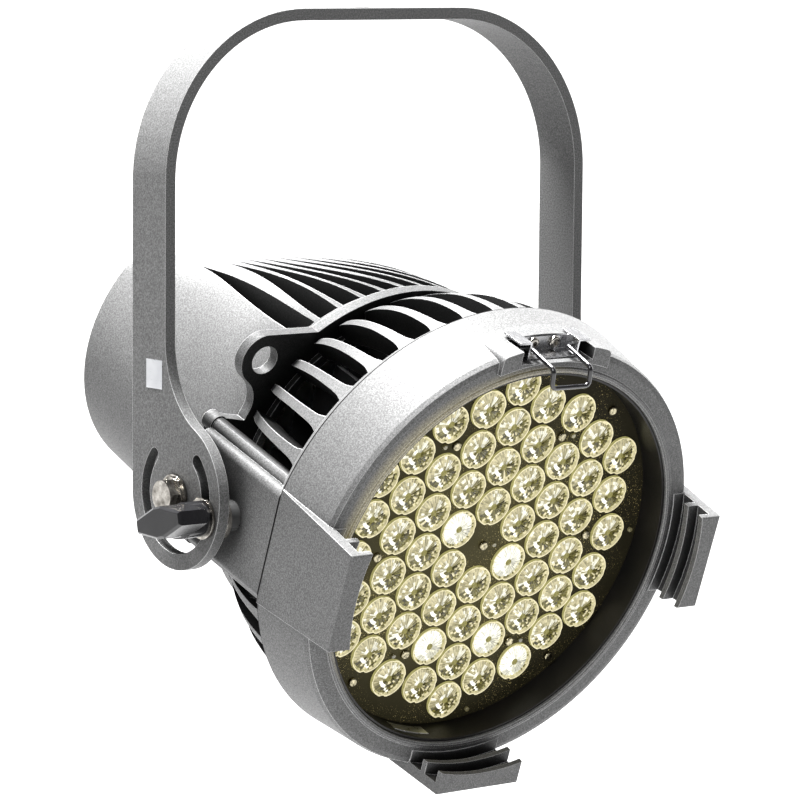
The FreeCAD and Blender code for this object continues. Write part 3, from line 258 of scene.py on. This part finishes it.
def moulded(name, low, high, roughness, scale=1400, coat=0.0, shine=0.5):
    """Plastic, rubber or gloss paint, with or without a clear coat."""
    s = Shader(name)
    grain = s.noise(scale, 3.0, 0.6)
    cloud = s.noise(35, 3.0)
    s.to("Base Color", s.ramp(cloud, [(0.3, low), (0.7, high)]))
    s.set(Coat_Weight=coat, Coat_Roughness=0.06, Specular_IOR_Level=shine)
    s.to("Roughness", s.ramp(grain, [(0.3, roughness * 0.8), (0.7, roughness * 1.2)]))
    s.bump(grain, 0.00006, 0.25, edge=0.0004)
    return s.material


def black_plate():
    """Matt black paint with a fine dusting of pale specks, a painted warm glow near the lenses and painted
    glints on the specks.
    """
    s = Shader("black_plate")
    fine = s.noise(1700, 2.0, 0.8)
    patch = s.noise(26, 2.0)
    dusty = s.ramp(patch, [(0.42, 0.0), (0.60, 1.0)])
    dust_and_glints = s.math("MULTIPLY", s.ramp(fine, [(0.63, 0.0), (0.70, 1.0)]), dusty)
    # painted warm glow, strongest near the lenses
    near = s.ramp(s.distance_from(PLATE_GLOW_AT), [(0.40, 1.0), (0.82, 0.0)])
    s.to("Base Color", s.mix(dust_and_glints, (0.010, 0.0085, 0.004), (0.75, 0.62, 0.26)))
    s.to("Roughness", s.ramp(fine, [(0.3, 0.74), (0.7, 0.60)]))
    # painted sheen over the plate and painted glints on the pale specks
    sheen = s.ramp(patch, [(0.3, (0.20, 0.175, 0.070)), (0.7, (0.34, 0.30, 0.125))])
    glow = s.mix(dust_and_glints, sheen, (3.2, 2.6, 1.1))
    s.to("Emission Color", s.mix(near, (0.02, 0.018, 0.008), glow))
    s.set(Emission_Strength=0.20, Specular_IOR_Level=0.08)
    s.bump(fine, 0.00012, 0.4)
    return s.material


def lens_glass():
    """Moulded acrylic with painted light: the facets carry painted highlights, glare and shade in their
    warm tone, which glows as if lit from behind.
    """
    s = Shader("lens_glass")
    ripple = s.noise(700, 3.0, 0.6)
    tint = s.ramp(ripple, [(0.35, (0.30, 0.28, 0.12)), (0.62, (1.0, 0.98, 0.78))])
    tone = s.mix(0.35, s.attribute("tone"), tint, "MULTIPLY")
    s.to("Base Color", s.mix(0.82, tone, (0.01, 0.01, 0.005)))
    # painted glow: the lenses give off their facet tone as light
    s.to("Emission Color", tone)
    s.set(Emission_Strength=0.80, Coat_Weight=0.25, Coat_Roughness=0.05, Specular_IOR_Level=0.35)
    s.to("Roughness", s.ramp(ripple, [(0.3, 0.10), (0.7, 0.22)]))
    s.bump(ripple, 0.00010, 0.4)
    return s.material


COAT = (0.056, 0.102, 0.170)   # grey of the dark, middle and light specks
COAT_EDGE_HIGHLIGHT = 0.60
# painted shade: a near-black coat for faces in the head's gaps
PAINTED_SHADE_COAT = powder_coat("painted_shade_coat", (0.008, 0.014, 0.028), 0.30)
MATERIALS = {
    "powder_coat": powder_coat("powder_coat", COAT, COAT_EDGE_HIGHLIGHT),
    "lens": lens_glass(),
    "label": metal("label", (0.62, 0.63, 0.66), (0.80, 0.81, 0.83), 0.32, scale=500),
    "rubber": moulded("rubber", (0.012, 0.012, 0.012), (0.02, 0.02, 0.02), 0.75),
    "zinc": metal("zinc", (0.17, 0.155, 0.135), (0.64, 0.61, 0.56), 0.15, edge=0.0002, patch=260),
    "stainless": metal("stainless", (0.36, 0.36, 0.37), (0.58, 0.58, 0.59), 0.26, stretch=(1.0, 0.06, 1.0)),
    "black_wire": moulded("black_wire", (0.004, 0.004, 0.005), (0.010, 0.010, 0.011), 0.14, coat=0.7),
    "black_matt": black_plate(),
    "circuit_board": moulded("circuit_board", (0.02, 0.10, 0.04), (0.03, 0.14, 0.06), 0.4),
    "emitter": moulded("emitter", (0.9, 0.75, 0.35), (1.0, 0.85, 0.45), 0.5),
    "nylon": moulded("nylon", (0.030, 0.030, 0.030), (0.075, 0.075, 0.075), 0.22, coat=0.6),
    # the pale gold patches on the dark screws are painted glints
    "black_screw": metal("black_screw", (0.02, 0.018, 0.010), (0.62, 0.56, 0.38), 0.16,
                         edge=0.0006, patch=650),
    "heat_sink": metal("heat_sink", (0.012, 0.012, 0.013), (0.022, 0.022, 0.023), 0.5, metallic=0.6),
    "panel": moulded("panel", (0.02, 0.02, 0.022), (0.035, 0.035, 0.037), 0.5),
    "window": moulded("window", (0.006, 0.009, 0.012), (0.012, 0.016, 0.02), 0.08, coat=0.6),
    "socket_blue": moulded("socket_blue", (0.02, 0.07, 0.35), (0.03, 0.10, 0.45), 0.3),
    "socket_grey": moulded("socket_grey", (0.38, 0.39, 0.41), (0.50, 0.51, 0.53), 0.35),
    "black_plastic": moulded("black_plastic", (0.012, 0.012, 0.013), (0.025, 0.025, 0.026), 0.45),
    "component": moulded("component", (0.03, 0.03, 0.04), (0.09, 0.09, 0.10), 0.4),
    "sheet": metal("sheet", (0.55, 0.56, 0.57), (0.72, 0.73, 0.74), 0.35),
    "knob": moulded("knob", (0.005, 0.005, 0.006), (0.012, 0.012, 0.013), 0.20, coat=0.04, shine=0.34),
    "button": moulded("button", (0.08, 0.08, 0.085), (0.14, 0.14, 0.145), 0.6),
}
SLOT_OF = {part["node"]: part["material_slot"] for part in frame["record"]["subparts"]}
for name, node in nodes.items():
    material = MATERIALS.get(SLOT_OF[name])
    if material:
        node.data.materials.clear()
        node.data.materials.append(material)

# pieces whose own look differs from that of their slot
HEAD_COAT = powder_coat("head_coat", COAT, COAT_EDGE_HIGHLIGHT, seam=True)
PIN = moulded("pin", (0.05, 0.045, 0.02), (0.34, 0.30, 0.15), 0.10, scale=2500, coat=0.9)
TUBE_BLACK = moulded("tube_black", (0.003, 0.003, 0.003), (0.008, 0.007, 0.006), 0.42, shine=0.3)
VENTED = ("mid_housing", "vent_ribs_top", "vent_ribs_bottom")
for name in ("front_bezel", *VENTED):
    nodes[name].data.materials[0] = HEAD_COAT
nodes["locating_pins"].data.materials[0] = PIN
nodes["inner_tube"].data.materials[0] = TUBE_BLACK


# ---------------------------------------------------------------- painted shade on faces in the head's gaps
# Each test gets a face's centre in head millimetres and its normal in the head's axes.
def between_rear_fins(x, y, z, normal):
    if not (FINS_Y[0] < y < FINS_Y[1] and abs(x) < FINS_HALF_W and z > FINS_MIN_Z):
        return False
    behind_flange = y - FLANGE_REAR_Y
    flat_top = FLAT_TOP_Z - FLAT_TOP_SLOPE * behind_flange
    skin = FINS_SKIN_R - FINS_SKIN_TAPER * behind_flange
    deep = z < flat_top - FINS_SKIN_T and math.hypot(x, z) < skin - FINS_SKIN_T
    upright = abs(normal.z) < 0.35
    return deep or upright


def flange_front(x, y, z, normal):
    return abs(y - FLANGE_FRONT_Y) < 0.1 and normal.y < -0.9


def beside_vent_rib(x, y, z, normal):
    if not (VENTS_Y[0] < y < VENTS_Y[1] and abs(z) > VENTS_MIN_Z):
        return False
    away = math.hypot(x, z)
    sideways = abs(normal.x * -z + normal.z * x) / away
    return sideways > 0.72 or away < VENTS_FLOOR_R


def paint_shade(name, test):
    """Painted shade: a dark coat, in a second material slot, on the faces that the test picks out."""
    node = nodes[name]
    node.data.materials.append(PAINTED_SHADE_COAT)
    to_head = HEAD.inverted() @ node.matrix_world
    turn = to_head.to_3x3()
    for face in node.data.polygons:
        x, y, z = (to_head @ face.center) * 1000.0
        normal = (turn @ face.normal).normalized()
        if test(x, y, z, normal):
            face.material_index = 1


paint_shade("rear_housing", between_rear_fins)
paint_shade("rear_flange", flange_front)
for name in VENTED:
    paint_shade(name, beside_vent_rib)


# ---------------------------------------------------------------- pieces made here
def build_yoke():
    """One unbroken bent bar: the three yoke nodes joined, without the walls where they meet."""
    parts = ("yoke_bridge", "yoke_arm_left", "yoke_arm_right")
    grid = bmesh.new()
    for name in parts:
        copy = nodes[name].data.copy()
        copy.transform(nodes[name].matrix_world)
        grid.from_mesh(copy)
        bpy.data.meshes.remove(copy)
    same_place = 0.00001
    meeting_x = BRIDGE_HALF * MM
    walls = [f for f in grid.faces if abs(abs(f.calc_center_median().x) - meeting_x) < same_place]
    bmesh.ops.delete(grid, geom=walls, context="FACES")
    bmesh.ops.remove_doubles(grid, verts=grid.verts, dist=same_place)
    mesh = bpy.data.meshes.new("yoke_skin")
    grid.to_mesh(mesh)
    grid.free()
    mesh.shade_smooth()
    mesh.set_sharp_from_angle(angle=SHARP)
    mesh.materials.clear()
    mesh.materials.append(MATERIALS["powder_coat"])
    piece = bpy.data.objects.new("yoke_skin", mesh)
    bpy.context.scene.collection.objects.link(piece)
    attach(piece, "yoke")
    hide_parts(*parts)


def lens_places():
    """Same hexagonal layout as the plate's holes: (x, z) in head millimetres."""
    places = []
    turn = math.radians(30)
    for i in range(-LENS_RINGS, LENS_RINGS + 1):
        for j in range(-LENS_RINGS, LENS_RINGS + 1):
            if (i, j) == (0, 0) or abs(i + j) > LENS_RINGS:
                continue
            middle_of_side = sorted((abs(i), abs(j), abs(i + j))) == [2, 2, 4]
            pitch = LENS_PITCH * (EDGE_LENS_SHIFT if middle_of_side else 1.0)
            x, z = pitch * (i + j / 2), pitch * j * math.sqrt(3) / 2
            places.append((x * math.cos(turn) - z * math.sin(turn),
                           x * math.sin(turn) + z * math.cos(turn)))
    return places


# facet colours, all painted light on the lenses: pale, cream and white highlights, olive and brown shade
CREAM = Vector((1.0, 0.91, 0.60))
PALE = Vector((0.50, 0.465, 0.195))
OLIVE = Vector((0.185, 0.165, 0.045))
BROWN = Vector((0.034, 0.028, 0.008))
PAINTED_HIGHLIGHT = Vector((1.7, 1.7, 1.6))

# millimetres from here to the end of the lenses: places as (x, z), rings as (radius, height)
# lenses given painted glare, and the painted highlight spot and streak in every lens
GLARE_LENSES = [(-10.5, 8.0), (12.5, -9.5), (-15.0, -48.0), (14.0, -48.5), (30.0, -60.0)]
GLARE_REACH = 7.0
HIGHLIGHT_SPOT_AT = (-1.6, 1.2)
HIGHLIGHT_STREAK_ENDS = (-3.2, -1.7, 1.3, -6.6)
PETALS = 30                   # two facets to a petal
LENS_PROFILE = [(0.0, 1.05), (1.5, 1.0), (3.0, 0.85), (4.6, 0.62), (6.0, 0.32), (7.2, 0.02)]
PROFILE_SINK = 0.75           # the dome lies this far below the heights in the profile
HUB_HEIGHT = 0.35
BAND = (8.05, -0.45)
LIP_INNER = (8.12, 0.30)
LIP_OUTER = (8.62, 0.34)
WALL_FOOT = (8.70, -1.2)
LIP_NOTCHES = ((262, 0.75), (87, 0.25), (177, 0.30), (357, 0.30))   # degrees and depth


def streak_distance(x, z):
    """Distance from the painted highlight streak, slanting low in each lens."""
    ax, az, bx, bz = HIGHLIGHT_STREAK_ENDS
    share = ((x - ax) * (bx - ax) + (z - az) * (bz - az)) / ((bx - ax) ** 2 + (bz - az) ** 2)
    share = min(1.0, max(0.0, share))
    return math.hypot(x - ax - share * (bx - ax), z - az - share * (bz - az))


def facet_painted_light(x, z, dice, glare):
    """Painted light on one facet: painted highlights in pale fans above and to the left, painted shade in
    dark rays low on the right, two painted highlight marks, and painted glare on some lenses.
    """
    away = math.hypot(x, z)
    angle = math.degrees(math.atan2(z, x))
    facing = 0.5 + 0.5 * math.cos(math.radians(angle - 118))
    share = 0.10 + 0.62 * facing * min(1.0, away / 4.5) + 0.55 * (dice.random() - 0.5)
    tone = OLIVE.lerp(CREAM, min(1.0, max(0.0, share)))
    if facing < 0.42:
        tone = CREAM if dice.random() < 0.16 else BROWN.lerp(OLIVE, 1.4 * dice.random())
    elif dice.random() < 0.20:
        tone = tone.lerp(PAINTED_HIGHLIGHT, 0.6)
    if 45 < angle < 75 and 1.5 < away < 6.5:
        tone = tone.lerp(PAINTED_HIGHLIGHT, 0.55)
    spot = math.hypot(x - HIGHLIGHT_SPOT_AT[0], z - HIGHLIGHT_SPOT_AT[1])
    tone = tone.lerp(PAINTED_HIGHLIGHT, max(0.0, min(1.0, 1.35 - spot / 1.2)))
    tone = tone.lerp(PAINTED_HIGHLIGHT, max(0.0, min(1.0, 1.30 - streak_distance(x, z) / 0.60)))
    if glare:
        tone = tone.lerp(PAINTED_HIGHLIGHT, 0.78 if facing > 0.3 else 0.45)
    return tone


def build_lenses():
    """Sixty faceted lenses with a raised, notched rim and facets that tilt in turn."""
    dice = random.Random(7)
    grid = bmesh.new()
    painted_light_layer = grid.loops.layers.float_color.new("tone")
    steps = 2 * PETALS

    def ring(cx, cz, radius, height, wobble=0.0, notch=False):
        verts = []
        for k in range(steps):
            angle = 2 * math.pi * k / steps
            reach = radius
            if notch:
                for at, depth in LIP_NOTCHES:
                    turn = abs((math.degrees(angle) - at + 180) % 360 - 180)
                    hollow = depth * math.exp(-(turn / 6.0) ** 2)
                    shoulder = 0.10 * math.exp(-((turn - 12) / 6.0) ** 2)
                    reach -= hollow - shoulder
            rise = height + (wobble if k % 2 else -wobble)
            place = Vector((cx + reach * math.cos(angle), -rise, cz + reach * math.sin(angle)))
            verts.append(grid.verts.new(HEAD @ (place * MM)))
        return verts

    def skin(inner, outer, tone_of):
        for k in range(steps):
            after = (k + 1) % steps
            face = grid.faces.new((inner[k], outer[k], outer[after], inner[after]))
            tone = tone_of(k)
            for loop in face.loops:
                loop[painted_light_layer] = (*tone, 1.0)

    for cx, cz in lens_places():
        glare = any(math.hypot(cx - hx, cz - hz) < GLARE_REACH for hx, hz in GLARE_LENSES)
        lift = 0.25 * dice.random()
        inner = None
        for index, (radius, height) in enumerate(LENS_PROFILE[1:], start=1):
            wobble = 0.10 if index < 5 else 0.16
            outer = ring(cx, cz, radius, height - PROFILE_SINK + lift * 0.2, wobble)
            if inner is None:
                hub = grid.verts.new(HEAD @ (Vector((cx, -HUB_HEIGHT, cz)) * MM))
                for k in range(steps):
                    face = grid.faces.new((hub, outer[k], outer[(k + 1) % steps]))
                    for loop in face.loops:
                        loop[painted_light_layer] = (*OLIVE.lerp(PALE, 0.5), 1.0)
            else:
                middle = (radius + LENS_PROFILE[index - 1][0]) / 2
                tones = []
                for petal in range(PETALS):
                    angle = 2 * math.pi * (2 * petal + 1) / steps
                    tone = facet_painted_light(middle * math.cos(angle), middle * math.sin(angle), dice, glare)
                    tones += [tone, tone * (0.50 + 0.45 * dice.random())]
                skin(inner, outer, lambda k, tones=tones: tones[k])
            inner = outer
        band = ring(cx, cz, *BAND, wobble=0.12)
        skin(inner, band, lambda k: OLIVE if dice.random() < 0.22 else PALE.lerp(CREAM, dice.random()))
        lip_inner = ring(cx, cz, *LIP_INNER, notch=True)
        lip_outer = ring(cx, cz, *LIP_OUTER, notch=True)
        wall = ring(cx, cz, *WALL_FOOT)
        # the cream lip and pale band glow through the lens material too: painted light
        skin(band, lip_inner, lambda k: CREAM * 0.75)
        skin(lip_inner, lip_outer, lambda k: CREAM * (0.95 + 0.15 * dice.random()))
        skin(lip_outer, wall, lambda k: PALE)
    mesh = bpy.data.meshes.new("lens_array")
    grid.normal_update()
    bmesh.ops.recalc_face_normals(grid, faces=grid.faces)
    grid.to_mesh(mesh)
    grid.free()
    piece = bpy.data.objects.new("lens_array", mesh)
    bpy.context.scene.collection.objects.link(piece)
    mesh.materials.append(MATERIALS["lens"])
    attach(piece, "head")
    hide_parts("lenses")


build_yoke()
build_lenses()


# ---------------------------------------------------------------- stage
FOCAL_LENGTH = 183.9          # millimetres, for the sensor width below
SENSOR_WIDTH = 36.0
CAMERA_FROM_LENSES = Vector((-1.0724, -1.3147, 0.2574))
FLOOR_Z = -0.62
FLOOR_FRONT_Y = -5.0
BEND_Y = 1.2                  # where the floor starts to bend up
BEND_R = 1.0
WALL_TOP_Z = 3.2
BACKDROP_HALF_W = 5.5


def camera():
    data = bpy.data.cameras.new("camera")
    data.lens = FOCAL_LENGTH
    data.sensor_width = SENSOR_WIDTH
    data.clip_end = 20.0
    obj = bpy.data.objects.new("camera", data)
    bpy.context.scene.collection.objects.link(obj)
    right = Vector((0.78854, -0.61493, 0.00825))
    down = Vector((-0.06414, -0.09558, -0.99335))
    forward = Vector((0.61163, 0.78277, -0.11483))
    turn = Matrix((right, -down, -forward)).transposed().to_4x4()
    lenses_middle = HEAD @ Vector((0.0, 0.0, 0.0))
    obj.matrix_world = Matrix.Translation(lenses_middle + CAMERA_FROM_LENSES) @ turn
    bpy.context.scene.camera = obj


def area_light(name, place, target, size, power):
    data = bpy.data.lights.new(name, "AREA")
    data.shape = "RECTANGLE"
    data.size, data.size_y = size
    data.energy = power
    obj = bpy.data.objects.new(name, data)
    bpy.context.scene.collection.objects.link(obj)
    obj.location = place
    obj.rotation_euler = (Vector(target) - Vector(place)).to_track_quat("-Z", "Y").to_euler()


def backdrop():
    """Pale sweep: floor, a wide bend and a wall behind."""
    profile = [(FLOOR_FRONT_Y, FLOOR_Z), (BEND_Y, FLOOR_Z)]
    profile += [(BEND_Y + BEND_R * math.sin(a), FLOOR_Z + BEND_R - BEND_R * math.cos(a))
                for a in [math.radians(15 * k) for k in range(1, 7)]]
    profile.append((BEND_Y + BEND_R, WALL_TOP_Z))
    mesh = bpy.data.meshes.new("backdrop")
    turn = Matrix.Rotation(math.radians(-38), 3, "Z")
    verts = []
    for y, z in profile:
        for x in (-BACKDROP_HALF_W, BACKDROP_HALF_W):
            verts.append(turn @ Vector((x, y, z)))
    faces = [(2 * k, 2 * k + 1, 2 * k + 3, 2 * k + 2) for k in range(len(profile) - 1)]
    mesh.from_pydata(verts, [], faces)
    mesh.polygons.foreach_set("use_smooth", [True] * len(faces))
    obj = bpy.data.objects.new("backdrop", mesh)
    bpy.context.scene.collection.objects.link(obj)
    s = Shader("backdrop")
    s.to("Base Color", s.ramp(s.noise(3, 2.0), [(0.3, 0.20), (0.7, 0.22)]))
    s.set(Roughness=0.9, Emission_Color=(1, 1, 1, 1), Emission_Strength=0.95)
    mesh.materials.append(s.material)


camera()
backdrop()
scene = bpy.context.scene
scene.view_settings.view_transform = "Standard"
world = bpy.data.worlds.new("studio")
scene.world = world
world.use_nodes = True
background = world.node_tree.nodes["Background"]
background.inputs["Color"].default_value = (1.0, 1.0, 1.0, 1.0)
background.inputs["Strength"].default_value = 0.15
area_light("top", (-0.15, 0.40, 1.6), (0, 0, -0.2), (0.8, 0.8), 320)
area_light("key", (-1.7, -1.1, 1.3), (0, -0.05, -0.2), (0.6, 0.6), 24)
area_light("rim", (1.6, 0.6, 0.3), (0, 0, -0.2), (0.6, 1.2), 10)
